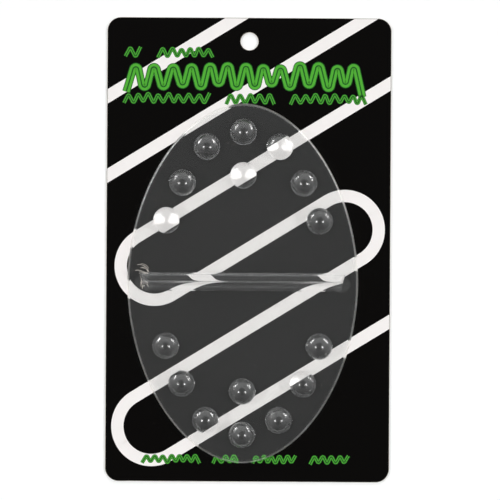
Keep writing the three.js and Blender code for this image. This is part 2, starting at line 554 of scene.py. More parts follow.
class Shell:
    """Collects rings, walls and caps into one closed mesh."""

    def __init__(self) -> None:
        """Starts with an empty mesh."""
        self.mesh = bmesh.new()

    def ring(self, points: Iterable[Vector], height: float) -> list[bmesh.types.BMVert]:
        """Adds one ring of vertices at a height."""
        return [self.mesh.verts.new((p.x, p.y, height)) for p in points]

    def wall(self, rings: Sequence[list[bmesh.types.BMVert]], slot: int = 0, smooth: bool = True) -> None:
        """Joins rings of equal length, each to the next, with a band of quads.

        Args:
            rings: the rings, in order.
            slot: the band's material slot.
            smooth: whether it is shaded smooth.
        """
        for lower, upper in zip(rings, rings[1:]):
            count = len(lower)
            for i in range(count):
                j = (i + 1) % count
                face = self.mesh.faces.new((lower[i], lower[j], upper[j], upper[i]))
                face.smooth = smooth
                face.material_index = slot

    def cap(
        self,
        outline: Loop,
        height: float,
        patches: Sequence[Loop] = (),
        slot: int = 0,
        patch_slot: int | None = None,
    ) -> None:
        """Fills an outline with flat triangles.

        Args:
            outline: the cap's edge.
            height: where it lies.
            patches: closed loops inside the outline.
            slot: the material slot outside the patches.
            patch_slot: the material slot inside them, or None where they are holes.
        """
        points, faces = [], []
        for loop in (outline, *patches):
            faces.append(list(range(len(points), len(points) + len(loop))))
            points += loop
        flat, _, triangles, _, _, owners = delaunay_2d_cdt(points, [], faces, 1, MERGE_DISTANCE / 100)
        vertices = self.ring(flat, height)
        for corners, owner in zip(triangles, owners):
            inside = any(index > 0 for index in owner)
            if inside and patch_slot is None:
                continue
            face = self.mesh.faces.new([vertices[c] for c in corners])
            face.material_index = patch_slot if inside else slot

    def piece(self, name: str, finishes: Sequence[bpy.types.Material]) -> bpy.types.Object:
        """Closes the seams, turns every face outwards and makes the object.

        Args:
            name: the piece's name.
            finishes: one material for each slot.

        Returns:
            The new object, at the origin.
        """
        bmesh.ops.remove_doubles(self.mesh, verts=self.mesh.verts, dist=MERGE_DISTANCE)
        loose = [v for v in self.mesh.verts if not v.link_faces]
        bmesh.ops.delete(self.mesh, geom=loose, context="VERTS")
        bmesh.ops.recalc_face_normals(self.mesh, faces=self.mesh.faces)
        data = bpy.data.meshes.new(name)
        self.mesh.to_mesh(data)
        self.mesh.free()
        for finish in finishes:
            data.materials.append(finish)
        return place(bpy.data.objects.new(name, data))


def place(piece: bpy.types.Object) -> bpy.types.Object:
    """Links an object to the scene."""
    bpy.context.scene.collection.objects.link(piece)
    return piece


def path_host(name: str, paths: Sequence[Path], height: float) -> bpy.types.Object:
    """Makes a mesh of bare edges for a node tree to draw along.

    Args:
        name: the object's name.
        paths: each path's corners, and whether it closes on itself.
        height: where the paths lie.

    Returns:
        The new object.
    """
    corners: list[tuple[float, float, float]] = []
    edges: list[tuple[int, int]] = []
    for points, closed in paths:
        first = len(corners)
        corners += [(p.x, p.y, height) for p in points]
        edges += [(first + i, first + i + 1) for i in range(len(points) - 1)]
        if closed:
            edges.append((len(corners) - 1, first))
    data = bpy.data.meshes.new(name)
    data.from_pydata(corners, edges, [])
    return place(bpy.data.objects.new(name, data))


def grown(host: bpy.types.Object, tree: bpy.types.NodeTree, **values: Any) -> bpy.types.Object:
    """Runs a geometry node tree on a host and keeps the result as the host's plain mesh.

    Args:
        host: the object that carries the tree's input.
        tree: the geometry node tree.
        values: its inputs, by name with _ for a blank.

    Returns:
        The host, with its new mesh and no modifier.
    """
    modifier = host.modifiers.new(tree.name, "NODES")
    modifier.node_group = tree
    sockets = {item.name: item.identifier for item in tree.interface.items_tree if item.in_out == "INPUT"}
    for name, value in values.items():
        modifier[sockets[name.replace("_", " ")]] = value
    depsgraph = bpy.context.evaluated_depsgraph_get()
    data = bpy.data.meshes.new_from_object(host.evaluated_get(depsgraph), depsgraph=depsgraph)
    host.modifiers.clear()
    old, host.data = host.data, data
    bpy.data.meshes.remove(old)
    data.name = host.name
    return host


def wear(piece: bpy.types.Object, body: str, slot: str, *nodes: str) -> None:
    """Parents a finished piece to its body's empty and hides the CAD nodes that it stands for.

    Args:
        piece: the finished object.
        body: the CAD body that it moves with.
        slot: the record's material slot; not used.
        nodes: the CAD nodes that it stands for.
    """
    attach(piece, body)
    if nodes:
        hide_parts(*nodes)
    faces = len(piece.data.polygons)
    log.info("%s rides on %s: %d faces, stands for %s", piece.name, body, faces, nodes or "no node")


# ------------------------------------------------------------------------------------------------- trees


def ink_stroke_tree() -> bpy.types.NodeTree:
    """A flat stroke of ink along each path, its corners rounded.

    Returns:
        The tree.
    """
    takes = [
        Port("Paths", GEOMETRY),
        Port("Turn Radius", FLOAT),
        Port("Stroke Width", FLOAT),
        Port("Ink Depth", FLOAT),
        Port("Turn Steps", INTEGER, 12),
        Port("Ink", MATERIAL),
    ]
    w, given, out = new_group("ink_stroke", "GeometryNodeTree", takes, [Port("Strokes", GEOMETRY)])
    path = w.node("GeometryNodeMeshToCurve", None, Mesh=given["Paths"]).outputs[0]
    rounded = w.node(
        "GeometryNodeFilletCurve",
        {"mode": "POLY"},
        Curve=path,
        Count=given["Turn Steps"],
        Radius=given["Turn Radius"],
        Limit_Radius=True,
    )
    stroke = w.strip(rounded.outputs[0], given["Stroke Width"], given["Ink Depth"])
    flat = w.real(w.shaded(stroke, smooth=False))
    w.feed(out["Strokes"], w.dressed(flat, Material=given["Ink"]))
    return w.tree


def grip_stud_tree() -> bpy.types.NodeTree:
    """A cap of a ball at every point, closed underneath by a flat foot.

    Returns:
        The tree.
    """
    takes = [
        Port("Places", GEOMETRY),
        Port("Ball Radius", FLOAT),
        Port("Foot Radius", FLOAT),
        Port("Segments", INTEGER, 72),
        Port("Rings", INTEGER, 24),
        Port("Urethane", MATERIAL),
        Port("Bonded Face", MATERIAL),
    ]
    w, given, out = new_group("grip_studs", "GeometryNodeTree", takes, [Port("Studs", GEOMETRY)])
    foot_angle = w.math("ARCCOSINE", w.math("DIVIDE", given["Foot Radius"], given["Ball Radius"]))
    sheet = w.node(
        "GeometryNodeMeshGrid",
        None,
        Size_X=1.0,
        Size_Y=1.0,
        Vertices_X=w.math("ADD", given["Segments"], 1.0),
        Vertices_Y=w.math("ADD", given["Rings"], 1.0),
    )
    spot = w.node("ShaderNodeSeparateXYZ", None, Vector=w.node("GeometryNodeInputPosition").outputs[0])
    turn = w.math("MULTIPLY", w.math("ADD", spot.outputs["X"], 0.5), 2 * math.pi)
    reach = w.math("SUBTRACT", math.pi / 2, foot_angle)
    rise = w.math("MULTIPLY_ADD", w.math("ADD", spot.outputs["Y"], 0.5), reach, foot_angle)
    radius = w.math("MULTIPLY", given["Ball Radius"], w.math("COSINE", rise))
    lift = w.math("SUBTRACT", w.math("SINE", rise), w.math("SINE", foot_angle))
    on_ball = w.node(
        "ShaderNodeCombineXYZ",
        None,
        X=w.math("MULTIPLY", radius, w.math("COSINE", turn)),
        Y=w.math("MULTIPLY", radius, w.math("SINE", turn)),
        Z=w.math("MULTIPLY", given["Ball Radius"], lift),
    )
    cap = w.node("GeometryNodeSetPosition", None, Geometry=sheet.outputs["Mesh"], Position=on_ball.outputs[0])
    disc = {"fill_type": "NGON"}
    foot = w.node("GeometryNodeMeshCircle", disc, Vertices=given["Segments"], Radius=given["Foot Radius"])
    under = w.node("GeometryNodeFlipFaces", None, Mesh=foot.outputs[0])
    joined = w.node("GeometryNodeJoinGeometry")
    w.feed(joined.inputs[0], w.shaded(cap.outputs[0], smooth=True))
    w.feed(joined.inputs[0], w.shaded(under.outputs[0], smooth=False))
    closed = w.node("GeometryNodeMergeByDistance", None, Geometry=joined.outputs[0], Distance=MERGE_DISTANCE)
    spread = w.node("GeometryNodeInstanceOnPoints", None, Points=given["Places"], Instance=closed.outputs[0])
    clear = w.dressed(w.real(spread.outputs[0]), Material=given["Urethane"])
    facing = w.node("ShaderNodeSeparateXYZ", None, Vector=w.node("GeometryNodeInputNormal").outputs[0])
    faces_down = w.math("LESS_THAN", facing.outputs["Z"], -0.9)
    w.feed(out["Studs"], w.dressed(clear, Selection=faces_down, Material=given["Bonded Face"]))
    return w.tree


def bead_tree() -> bpy.types.NodeTree:
    """Small beads scattered over a surface and lifted at random inside a layer.

    Returns:
        The tree.
    """
    takes = [
        Port("Surface", GEOMETRY),
        Port("Per Square Metre", FLOAT),
        Port("Bead Radius", FLOAT),
        Port("Layer Depth", FLOAT),
        Port("Smallest", FLOAT, 0.5),
        Port("Largest", FLOAT, 1.3),
        Port("Seed", INTEGER, 3),
        Port("Finish", MATERIAL),
    ]
    w, given, out = new_group("trapped_beads", "GeometryNodeTree", takes, [Port("Beads", GEOMETRY)])
    spots = w.scattered(given["Surface"], given["Per Square Metre"], given["Seed"])
    ball = w.node("GeometryNodeMeshIcoSphere", None, Radius=given["Bead Radius"], Subdivisions=2)
    size = w.random(given["Smallest"], given["Largest"], given["Seed"])
    height = w.math("MULTIPLY", w.random(0.0, 1.0, given["Seed"]), given["Layer Depth"])
    lift = w.node("ShaderNodeCombineXYZ", None, Z=height)
    raised = w.node("GeometryNodeSetPosition", None, Geometry=spots, Offset=lift.outputs[0])
    spread = w.node(
        "GeometryNodeInstanceOnPoints",
        None,
        Points=raised.outputs[0],
        Instance=w.shaded(ball.outputs[0], smooth=True),
        Scale=size,
    )
    w.feed(out["Beads"], w.dressed(w.real(spread.outputs[0]), Material=given["Finish"]))
    return w.tree


def glue_string_tree() -> bpy.types.NodeTree:
    """Fine drawn strings lying at random angles over a surface, each an arc.

    Returns:
        The tree.
    """
    takes = [
        Port("Surface", GEOMETRY),
        Port("Per Square Metre", FLOAT),
        Port("String Width", FLOAT),
        Port("String Depth", FLOAT),
        Port("Arc Radius", FLOAT),
        Port("Sweep", FLOAT, math.radians(70)),
        Port("Most Turn", FLOAT, 0.9),
        Port("Smallest", FLOAT, 0.3),
        Port("Largest", FLOAT, 1.2),
        Port("Seed", INTEGER, 5),
        Port("Finish", MATERIAL),
    ]
    w, given, out = new_group("glue_strings", "GeometryNodeTree", takes, [Port("Strings", GEOMETRY)])
    spots = w.scattered(given["Surface"], given["Per Square Metre"], given["Seed"])
    arc = w.node(
        "GeometryNodeCurveArc",
        {"mode": "RADIUS"},
        Resolution=9,
        Radius=given["Arc Radius"],
        Sweep_Angle=given["Sweep"],
    )
    least_turn = w.math("MULTIPLY", given["Most Turn"], -1.0)
    turned = w.node("ShaderNodeCombineXYZ", None, Z=w.random(least_turn, given["Most Turn"], given["Seed"]))
    spread = w.node(
        "GeometryNodeInstanceOnPoints",
        None,
        Points=spots,
        Instance=arc.outputs[0],
        Rotation=turned.outputs[0],
        Scale=w.random(given["Smallest"], given["Largest"], given["Seed"]),
    )
    string = w.strip(w.real(spread.outputs[0]), given["String Width"], given["String Depth"])
    w.feed(out["Strings"], w.dressed(string, Material=given["Finish"]))
    return w.tree


# -------------------------------------------------------------------------------------------- the card


@dataclass
class HangCard:
    """The board that the pad is sold on: black on its front, bare on its edge and back."""

    shelf: FinishShelf
    corner_radius: float = 6.0 * MM
    corner_steps: int = 16
    hole_radius: float = 4.0 * MM
    hole_steps: int = 64
    crushed_edge: float = 0.09 * MM

    def __post_init__(self) -> None:
        """Reads the card's box and the peg hole's place from the frame."""
        self.low, self.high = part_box("backing_card")
        peg_low, peg_high = (Vector(corner) for corner in self.opening("peg_hole"))
        self.hole_centre = ((peg_low + peg_high) / 2).xy

    @staticmethod
    def opening(name: str) -> list[list[float]]:
        """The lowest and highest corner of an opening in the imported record.

        Args:
            name: the opening's name.

        Returns:
            The two corners.
        """
        stated = frame["record"]["physics"]["openings"]
        found = next(o for o in stated if o.get("name") == name)
        return found["box_m"]

    def outline(self, inset: float = 0.0) -> Loop:
        """The card's edge, with its four corners as arcs.

        Args:
            inset: how far in from the real edge.

        Returns:
            The edge's points, anticlockwise.
        """
        points = []
        half = (self.high - self.low) / 2
        centre = (self.high + self.low) / 2
        radius = self.corner_radius - inset
        to_corner = half - Vector((self.corner_radius, self.corner_radius, 0))
        for quarter, (sx, sy) in enumerate(((1, 1), (-1, 1), (-1, -1), (1, -1))):
            middle = centre.xy + Vector((sx * to_corner.x, sy * to_corner.y))
            for i in range(self.corner_steps + 1):
                angle = math.pi / 2 * (quarter + i / self.corner_steps)
                points.append(middle + radius * Vector((math.cos(angle), math.sin(angle))))
        return points

    def build(self) -> None:
        """Builds the board with its front edge slightly crushed by the die."""
        shell = Shell()
        crush, low, high = self.crushed_edge, self.low.z, self.high.z
        rim = [(0.0, low), (0.0, high - crush), (0.3 * crush, high - 0.3 * crush), (crush, high)]
        board, inked = 0, 1
        shell.wall([shell.ring(self.outline(inset), z) for inset, z in rim], slot=board)
        holes = [circle(self.hole_centre, self.hole_radius + inset, self.hole_steps) for inset, _ in rim]
        shell.wall([shell.ring(hole, z) for hole, (_, z) in zip(holes, rim)], slot=board)
        shell.cap(self.outline(crush), high, [holes[-1]], slot=inked)
        shell.cap(self.outline(), low, [holes[0]], slot=board)
        piece = shell.piece("hang_card", self.shelf.materials(Finish.BARE_BOARD, Finish.BLACK_INK))
        wear(piece, "card", "card_board", "backing_card")


@dataclass(frozen=True)
class RidgeRow:
    """A row of jagged ridge lines: its left end, foot and height, each ridge's length, and its seed."""

    left: float
    foot: float
    height: float
    lengths: tuple[float, ...]
    seed: int
    pitch_share: float = 0.42
    gap_share: float = 1.3

    def ridge(self, left: float, right: float, seed: int) -> list[Vector]:
        """One ridge line's corners, with uneven peaks and dips.

        Args:
            left: where it starts.
            right: where it ends.
            seed: for its unevenness.

        Returns:
            Its corners, from left to right.
        """
        pick = random.Random(seed)
        pitch = self.height * self.pitch_share
        corners, x, is_peak = [], left, False
        while x < right:
            share = pick.uniform(0.85, 1.0) if is_peak else pick.uniform(0.0, 0.15)
            corners.append(Vector((x, self.foot + self.height * share)))
            x += pitch * pick.uniform(0.85, 1.15)
            is_peak = not is_peak
        return corners

    def paths(self) -> list[Path]:
        """Every ridge line of the row as an open path.

        Returns:
            The ridge lines, from left to right.
        """
        ridges, left = [], self.left
        for i, length in enumerate(self.lengths):
            ridges.append((self.ridge(left, left + length, self.seed + i), False))
            left += length + self.height * self.gap_share
        return ridges


@dataclass
class CardPrint:
    """The ink on the card: a white switchback trail, and green ridge lines with a dark edge and middle."""

    shelf: FinishShelf
    card: HangCard
    trail_angle: float = math.radians(31.5)
    trail_spacing: float = 30.3 * MM
    trail_width: float = 5.5 * MM
    trail_across: float = 30.7 * MM
    trail_left: float = -39.6 * MM
    trail_right: float = 41.6 * MM
    trail_far_left: float = -78.0 * MM
    trail_beyond: float = 170 * MM
    ink_depth: float = 0.012 * MM
    turn_steps: int = 24
    bleed: float = 0.2 * MM
    title: RidgeRow = RidgeRow(-55.0 * MM, 68.2 * MM, 18.6 * MM, (109 * MM,), 6, pitch_share=4.0 / 18.6)
    title_widths: tuple[float, float, float] = (3.6 * MM, 2.9 * MM, 0.6 * MM)
    title_turn: float = 1.25 * MM
    rows: tuple[RidgeRow, ...] = (
        RidgeRow(-55.5 * MM, 85.6 * MM, 5.0 * MM, (8 * MM, 25 * MM), 20),
        RidgeRow(-56.0 * MM, 65.0 * MM, 5.2 * MM, (39 * MM, 22 * MM, 36 * MM), 30),
        RidgeRow(-47.0 * MM, -95.9 * MM, 4.4 * MM, (26 * MM, 12 * MM, 20 * MM, 18 * MM), 40),
    )
    row_widths: tuple[float, float, float] = (1.7 * MM, 1.25 * MM, 0.55 * MM)
    row_turn: float = 0.5 * MM

    def __post_init__(self) -> None:
        """Builds the stroke tree and the trail's own directions."""
        self.stroke = ink_stroke_tree()
        self.along = Vector((math.cos(self.trail_angle), math.sin(self.trail_angle)))
        self.across = Vector((-self.along.y, self.along.x))

    def trail_point(self, along: float, lane: int) -> Vector:
        """A point so far along the trail's direction, in a lane counted downwards from the main one."""
        return self.along * along + self.across * (self.trail_across - lane * self.trail_spacing)

    def trail(self) -> list[Path]:
        """The switchback trail and the two plain lanes above it, running past the card's edges.

        Returns:
            The paths of their middle lines.
        """
        turn, beyond = self.trail_spacing / 2, self.trail_beyond
        left, right, far_left = self.trail_left - turn, self.trail_right + turn, self.trail_far_left - turn
        upper = [(beyond, 0), (left, 0), (left, 1), (right, 1)]
        lower = [(right, 2), (far_left, 2), (far_left, 3), (beyond, 3)]
        switchback = [self.trail_point(along, lane) for along, lane in upper + lower]
        lanes = [[self.trail_point(-beyond, lane), self.trail_point(beyond, lane)] for lane in (-1, -2)]
        return [(switchback, False), *((lane, False) for lane in lanes)]

    def draw(
        self, paths: Sequence[Path], layer: int, width: float, turn: float, ink: Finish
    ) -> bpy.types.Object:
        """Draws one layer of strokes.

        Args:
            paths: the paths to draw along.
            layer: how many layers of ink lie under it.
            width: the stroke's width.
            turn: the radius of its corners.
            ink: its finish.

        Returns:
            The strokes as one mesh.
        """
        height = self.card.high.z + self.ink_depth * (layer + 0.5)
        return grown(
            path_host("ink", paths, height),
            self.stroke,
            Turn_Radius=turn,
            Stroke_Width=width,
            Ink_Depth=self.ink_depth,
            Turn_Steps=self.turn_steps,
            Ink=self.shelf.material(ink),
        )

    def banded(self, paths: Sequence[Path], widths: Sequence[float], turn: float) -> list[bpy.types.Object]:
        """Draws strokes three times over: a dark edge, a bright band and a dark line along its middle.

        Args:
            paths: the paths to draw along.
            widths: the width of the edge, the band and the line.
            turn: the radius of their corners.

        Returns:
            The three layers, from the lowest up.
        """
        inks = (Finish.DARK_GREEN_INK, Finish.BRIGHT_GREEN_INK, Finish.DARK_GREEN_INK)
        passes = enumerate(zip(widths, inks), start=1)
        return [self.draw(paths, layer, width, turn, ink) for layer, (width, ink) in passes]

    def trim(self, piece: bpy.types.Object) -> None:
        """Cuts off what runs past the card's edges and closes the cut.

        Args:
            piece: the strokes, which are changed in place.
        """
        mesh = bmesh.new()
        mesh.from_mesh(piece.data)
        low, high = self.card.low, self.card.high
        sides = [
            ((low.x + self.bleed, 0, 0), (-1, 0, 0)),
            ((high.x - self.bleed, 0, 0), (1, 0, 0)),
            ((0, low.y + self.bleed, 0), (0, -1, 0)),
            ((0, high.y - self.bleed, 0), (0, 1, 0)),
        ]
        for point, outwards in sides:
            everything = [*mesh.verts, *mesh.edges, *mesh.faces]
            cut = bmesh.ops.bisect_plane(
                mesh, geom=everything, plane_co=point, plane_no=outwards, clear_outer=True
            )
            edges = [e for e in cut["geom_cut"] if isinstance(e, bmesh.types.BMEdge)]
            bmesh.ops.contextual_create(mesh, geom=edges)
        bmesh.ops.recalc_face_normals(mesh, faces=mesh.faces)
        mesh.to_mesh(piece.data)
        mesh.free()

    def build(self) -> None:
        """Prints the white trail, then the green drawing over it."""
        white = self.draw(self.trail(), 0, self.trail_width, self.trail_spacing / 2, Finish.WHITE_INK)
        trail = renamed(white, "printed_trail")
        self.trim(trail)
        wear(trail, "card", "white_print")
        small = [path for row in self.rows for path in row.paths()]
        layers = self.banded(self.title.paths(), self.title_widths, self.title_turn)
        layers += self.banded(small, self.row_widths, self.row_turn)
        wear(merged("printed_ridges", layers), "card", "green_print")


def renamed(piece: bpy.types.Object, name: str) -> bpy.types.Object:
    """Names an object and its mesh."""
    piece.name = piece.data.name = name
    return piece


def merged(name: str, parts: Sequence[bpy.types.Object]) -> bpy.types.Object:
    """Joins several plain meshes, with their materials, into one piece.

    Args:
        name: the new piece's name.
        parts: what it is made of.

    Returns:
        The one piece.
    """
    with bpy.context.temp_override(active_object=parts[0], selected_editable_objects=list(parts)):
        bpy.ops.object.join()
    return renamed(parts[0], name)


@dataclass
class GlueSpots:
    """Two flattened drops of glue that tack the liner to the card, one with drawn strings."""

    shelf: FinishShelf
    steps: int = 48
    waver: float = 0.12
    strings_offset: Point = (-2.0 * MM, 1.5 * MM)
    strings_half_size: Point = (1.3 * MM, 3.6 * MM)
    string_width: float = 0.16 * MM
    string_depth: float = 0.03 * MM
    string_arc: float = 3.6 * MM
    strings_per_square_metre: float = 1.5e6

    def drop(self, node: str, seed: int) -> None:
        """Builds one drop as a low, uneven disc in its CAD node's box.

        Args:
            node: the CAD node's name.
            seed: for its unevenness.
        """
        low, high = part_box(node)
        middle, radius = (low + high) / 2, (high.x - low.x) / 2
        pick = random.Random(seed)
        phases = [pick.uniform(0, 2 * math.pi) for _ in range(3)]

        def edge(scale: float) -> Loop:
            """The drop's uneven edge, scaled about its middle.

            Args:
                scale: the share of its full size.

            Returns:
                The edge's points.
            """
            points = []
            for i in range(self.steps):
                a = 2 * math.pi * i / self.steps
                waves = sum(math.cos((k + 2) * a + phase) / (k + 1) for k, phase in enumerate(phases))
                r = radius * scale * (1 - self.waver + self.waver * waves / 2)
                points.append(middle.xy + r * Vector((math.cos(a), math.sin(a))))
            return points

        shell = Shell()
        depth = high.z - low.z - 2 * SEAT_GAP
        profile = [(0.97, 0.0), (1.0, 0.3), (0.98, 0.7), (0.9, 1.0)]
        shell.wall([shell.ring(edge(scale), low.z + SEAT_GAP + depth * z) for scale, z in profile])
        shell.cap(edge(profile[0][0]), low.z + SEAT_GAP)
        shell.cap(edge(profile[-1][0]), low.z + SEAT_GAP + depth)
        piece = shell.piece(node.replace("tack", "glue"), self.shelf.materials(Finish.GLUE))
        wear(piece, "card", "tack_glue", node)

    def strings(self) -> None:
        """Lays drawn glue strings over the left drop."""
        low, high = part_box("tack_spot_left")
        middle = ((low + high) / 2).xy + Vector(self.strings_offset)
        half_x, half_y = self.strings_half_size
        signs = ((-1, -1), (1, -1), (1, 1), (-1, 1))
        host = Shell()
        patch = [middle + Vector((sx * half_x, sy * half_y)) for sx, sy in signs]
        host.cap(patch, high.z - self.string_depth)
        piece = grown(
            host.piece("glue_strings", []),
            glue_string_tree(),
            Per_Square_Metre=self.strings_per_square_metre,
            String_Width=self.string_width,
            String_Depth=self.string_depth,
            Arc_Radius=self.string_arc,
            Seed=5,
            Finish=self.shelf.material(Finish.GLUE_STRING),
        )
        wear(piece, "card", "tack_glue")

    def build(self) -> None:
        """Builds both drops and the strings."""
        self.drop("tack_spot_left", 2)
        self.drop("tack_spot_right", 8)
        self.strings()


# --------------------------------------------------------------------------------------------- the pad


@dataclass
class PadLayers:
    """What the pad is made of below its grip: release liner, adhesive film and clear sheet."""

    shelf: FinishShelf
    feet: list[Loop]
    edge_radius: float = 1.25 * MM
    edge_steps: int = 12
    edge_flatness: float = 1.5
    frosted_steps: int = 9
    bubble_radius: float = 0.14 * MM
    bubbles_per_square_metre: float = 2600.0
    bubble_free_edge: float = 3.0 * MM
    bubble_free_skin: float = 0.5 * MM

    def liner(self) -> None:
        """Builds the release liner, which stays with the card."""
        low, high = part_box("release_liner")
        ring = Oval.around("release_liner").ring()
        shell = Shell()
        shell.wall([shell.ring(ring, low.z), shell.ring(ring, high.z)])
        shell.cap(ring, low.z)
        shell.cap(ring, high.z)
        piece = shell.piece("clear_liner", self.shelf.materials(Finish.LINER))
        wear(piece, "card", "liner_film", "release_liner")

    def adhesive(self) -> None:
        """Builds the adhesive film, bonded to the sheet above and just clear of the liner below."""
        low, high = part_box("adhesive_film")
        ring = Oval.around("adhesive_film").ring()
        shell = Shell()
        bottom = low.z + 2 * SEAT_GAP
        top = high.z - SEAT_GAP
        shell.wall([shell.ring(ring, bottom), shell.ring(ring, top)])
        shell.cap(ring, bottom)
        shell.cap(ring, top, slot=1)
        piece = shell.piece("clear_adhesive", self.shelf.materials(Finish.ADHESIVE, Finish.BOND))
        wear(piece, "pad", "pad_adhesive", "adhesive_film")

    def sheet(self) -> None:
        """Builds the sheet with its rounded, frosted edge, and bonded faces where grip and film touch it."""
        low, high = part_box("pad_sheet")
        oval = Oval.around("pad_sheet")
        clear, bonded, frosted = range(3)
        shell = Shell()
        rings = [shell.ring(oval.ring(), low.z)]
        for i in range(self.edge_steps + 1):
            angle = math.pi / 2 * i / self.edge_steps
            inset = self.edge_radius * (1 - math.cos(angle) ** self.edge_flatness)
            drop = self.edge_radius * (1 - math.sin(angle) ** self.edge_flatness)
            rings.append(shell.ring(oval.ring(inset), high.z - drop))
        shell.wall(rings[: self.frosted_steps + 1], slot=frosted)
        shell.wall(rings[self.frosted_steps :], slot=clear)
        shell.cap(oval.ring(), low.z, [Oval.around("adhesive_film").ring()], patch_slot=bonded)
        shell.cap(oval.ring(self.edge_radius), high.z, self.feet, patch_slot=bonded)
        piece = shell.piece("clear_sheet", self.shelf.materials(Finish.SHEET, Finish.BOND, Finish.CUT_EDGE))
        wear(piece, "pad", "clear_urethane", "pad_sheet")

    def trapped_air(self) -> None:
        """Scatters a few small air bubbles through the sheet's thickness."""
        low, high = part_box("pad_sheet")
        host = Shell()
        host.cap(Oval.around("pad_sheet").ring(self.bubble_free_edge), low.z + self.bubble_free_skin)
        piece = grown(
            host.piece("trapped_bubbles", []),
            bead_tree(),
            Per_Square_Metre=self.bubbles_per_square_metre,
            Bead_Radius=self.bubble_radius,
            Layer_Depth=high.z - low.z - 2 * self.bubble_free_skin,
            Seed=3,
            Finish=self.shelf.material(Finish.TRAPPED_AIR),
        )
        wear(piece, "pad", "clear_urethane")

    def build(self) -> None:
        """Builds the layers from the bottom up."""
        self.liner()
        self.adhesive()
        self.sheet()
        self.trapped_air()


def arc(centre: Point, radius: float, start: float, end: float, steps: int) -> list[Point]:
    """Points along an arc in a section, both ends included, from one angle to another."""
    angles = (start + (end - start) * i / steps for i in range(steps + 1))
    return [(centre[0] + radius * math.cos(a), centre[1] + radius * math.sin(a)) for a in angles]


@dataclass
class ScraperBar:
    """The bar across the pad: an upright face, a sharp top edge, a round crest and a hollow back."""

    shelf: FinishShelf
    face_y: float = 3.9 * MM
    crest_y: float = 2.8 * MM
    crest_radius: float = 2.0 * MM
    hollow_y: float = 0.3 * MM
    toe_y: float = -3.4 * MM
    foot_fillet: float = 0.85 * MM
    edge_round: float = 0.12 * MM
    end_rounding: float = 4.5 * MM
    end_slant: float = 0.3
    curve_steps: int = 16
    edge_steps: int = 4
    end_steps: int = 14

    def __post_init__(self) -> None:
        """Reads the bar's box from the frame."""
        self.low, self.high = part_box("scraper_bar")
        self.centre = Oval.around("pad_sheet").centre
        self.half_length = (self.high.x - self.low.x) / 2
        self.height = self.high.z - self.low.z
        self.heel_y = self.face_y + self.foot_fillet

    def reach(self, y: float) -> float:
        """How far the bar reaches each way along X at a place across it, as its ends slant in to the toe."""
        return self.half_length - self.end_slant * (self.heel_y - y)

    def section(self) -> list[Point]:
        """The bar's section above the sheet as (y, z), from its toe over the crest to its heel.

        Returns:
            The section's points, open along the foot.
        """
        crest = (self.crest_y, self.height - self.crest_radius)
        hollow_top = self.crest_y - self.crest_radius
        points: list[Point] = []
        for i in range(self.curve_steps):
            t = i / self.curve_steps
            across = (1 - t) ** 2 * self.toe_y + 2 * t * (1 - t) * self.hollow_y + t**2 * hollow_top
            points.append((across, t**2 * crest[1]))
        inner = self.crest_radius - self.edge_round
        edge_angle = math.acos((self.face_y - self.edge_round - self.crest_y) / inner)
        edge = (crest[0] + inner * math.cos(edge_angle), crest[1] + inner * math.sin(edge_angle))
        heel = (self.heel_y, self.foot_fillet)
        points += arc(crest, self.crest_radius, math.pi, edge_angle, self.curve_steps)
        points += arc(edge, self.edge_round, edge_angle, 0.0, self.edge_steps)[1:]
        points += arc(heel, self.foot_fillet, math.pi, 1.5 * math.pi, self.curve_steps // 2)
        return points

    def stations(self) -> list[tuple[float, float, float]]:
        """Places along the bar as (side, share of the end's rounding, share of the height).

        Returns:
            The places, from the left end to the right.
        """
        quarter = [math.pi / 2 * i / self.end_steps for i in range(self.end_steps + 1)]
        right = [(1.0, math.sin(a), math.cos(a)) for a in quarter]
        left = [(-1.0, s, c) for _, s, c in reversed(right)]
        return left + right

    def foot(self) -> Loop:
        """The bar's foot in plan, anticlockwise from the toe's right end."""
        corners = [(1, self.toe_y), (1, self.heel_y), (-1, self.heel_y), (-1, self.toe_y)]
        return [self.centre + Vector((side * self.reach(y), y)) for side, y in corners]

    def build(self) -> None:
        """Lofts the section along the bar, its height falling away round both ends."""
        section = self.section()
        shell = Shell()
        foot_z = self.low.z + SEAT_GAP
        rows = []
        for side, out, share in self.stations():
            row = []
            for y, z in section:
                x = side * (self.reach(y) - self.end_rounding * (1 - out))
                spot = (self.centre.x + x, self.centre.y + y, foot_z + z * share)
                row.append(shell.mesh.verts.new(spot))
            rows.append(row)
        for near, far in zip(rows, rows[1:]):
            for i in range(len(section) - 1):
                shell.mesh.faces.new((near[i], near[i + 1], far[i + 1], far[i])).smooth = True
        toe, heel = [row[0] for row in rows], [row[-1] for row in reversed(rows)]
        under = shell.mesh.faces.new(toe + rows[-1][1:-1] + heel + rows[0][-2:0:-1])
        under.material_index = 1
        piece = shell.piece("clear_scraper_bar", self.shelf.materials(Finish.MOULDED, Finish.BOND))
        wear(piece, "pad", "clear_urethane", "scraper_bar")


